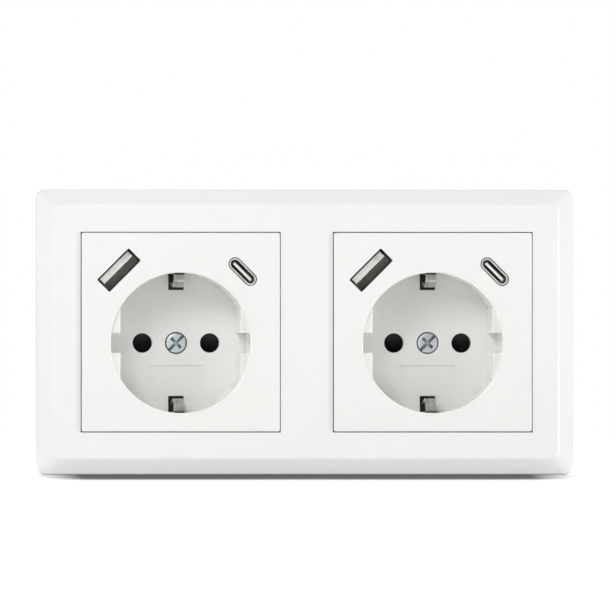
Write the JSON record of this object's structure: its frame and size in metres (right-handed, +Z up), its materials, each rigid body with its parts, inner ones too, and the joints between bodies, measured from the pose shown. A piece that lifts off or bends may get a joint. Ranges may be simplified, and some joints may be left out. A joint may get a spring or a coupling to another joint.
{
  "type": "usb wall socket",
  "caption": "White flush wall socket with earthed round plug recesses side by side in one bevelled frame, shuttered pin holes, and tilted USB-A and USB-C charging ports above each recess.",
  "frame": {"origin": "middle of the frame's back rim, on the wall's surface", "axes": "+X along the frame to the right, +Y into the wall, +Z up; the plug side faces -Y"},
  "size_m": [0.151, 0.0409, 0.08],
  "materials": {
    "frame_plastic": "satin white moulding",
    "plate_plastic": "satin white moulding",
    "zinc_screw": "bright zinc plated",
    "shutter_plastic": "black moulding",
    "spring_steel": "drawn wire",
    "carrier_plastic": "dark insulating moulding",
    "contact_brass": "stamped brass",
    "earth_metal": "nickel plated spring strip",
    "support_steel": "zinc plated sheet",
    "housing_plastic": "light grey moulding",
    "board": "solder resist over glass laminate",
    "ferrite": "ferrite and tape",
    "can_aluminium": "sleeved can",
    "port_steel": "nickel plated sleeve",
    "tongue_plastic": "white insulator",
    "port_contact": "plated contact"
  },
  "bodies": {
    "socket": {"frame": "frame_plastic", "left_centre_plate": "plate_plastic", "left_cover_screw": "zinc_screw", "left_shutter_spring": "spring_steel", "left_contact_carrier": "carrier_plastic", "left_line_contact": "contact_brass", "left_neutral_contact": "contact_brass", "left_earth_bracket": "earth_metal", "left_terminal_screws": "zinc_screw", "left_wire_clamps": "zinc_screw", "left_support_plate": "support_steel", "left_rear_housing": "housing_plastic", "left_housing_screws": "zinc_screw", "left_port_board": "board", "left_port_board_screws": "zinc_screw", "left_charger_board": "board", "left_link_pins": "contact_brass", "left_transformer": "ferrite", "left_capacitors": "can_aluminium", "left_usb_a_shell": "port_steel", "left_usb_a_tongue": "tongue_plastic", "left_usb_a_contacts": "port_contact", "left_usb_c_shell": "port_steel", "left_usb_c_tongue": "tongue_plastic", "right_centre_plate": "plate_plastic", "right_cover_screw": "zinc_screw", "right_shutter_spring": "spring_steel", "right_contact_carrier": "carrier_plastic", "right_line_contact": "contact_brass", "right_neutral_contact": "contact_brass", "right_earth_bracket": "earth_metal", "right_terminal_screws": "zinc_screw", "right_wire_clamps": "zinc_screw", "right_support_plate": "support_steel", "right_rear_housing": "housing_plastic", "right_housing_screws": "zinc_screw", "right_port_board": "board", "right_port_board_screws": "zinc_screw", "right_charger_board": "board", "right_link_pins": "contact_brass", "right_transformer": "ferrite", "right_capacitors": "can_aluminium", "right_usb_a_shell": "port_steel", "right_usb_a_tongue": "tongue_plastic", "right_usb_a_contacts": "port_contact", "right_usb_c_shell": "port_steel", "right_usb_c_tongue": "tongue_plastic"},
    "left_shutter_slider": {"left_shutter": "shutter_plastic"},
    "right_shutter_slider": {"right_shutter": "shutter_plastic"}
  },
  "joints": [
    {"name": "left_shutter_slide", "type": "slide", "parent": "socket", "child": "left_shutter_slider", "axis": [0, 0, 1], "range_m": [0, 0.00665], "stiffness_N_per_m": 60, "springref_m": -0.001, "deforming": ["left_shutter_spring"]},
    {"name": "right_shutter_slide", "type": "slide", "parent": "socket", "child": "right_shutter_slider", "axis": [0, 0, 1], "range_m": [0, 0.00665], "stiffness_N_per_m": 60, "springref_m": -0.001, "deforming": ["right_shutter_spring"]}
  ]
}
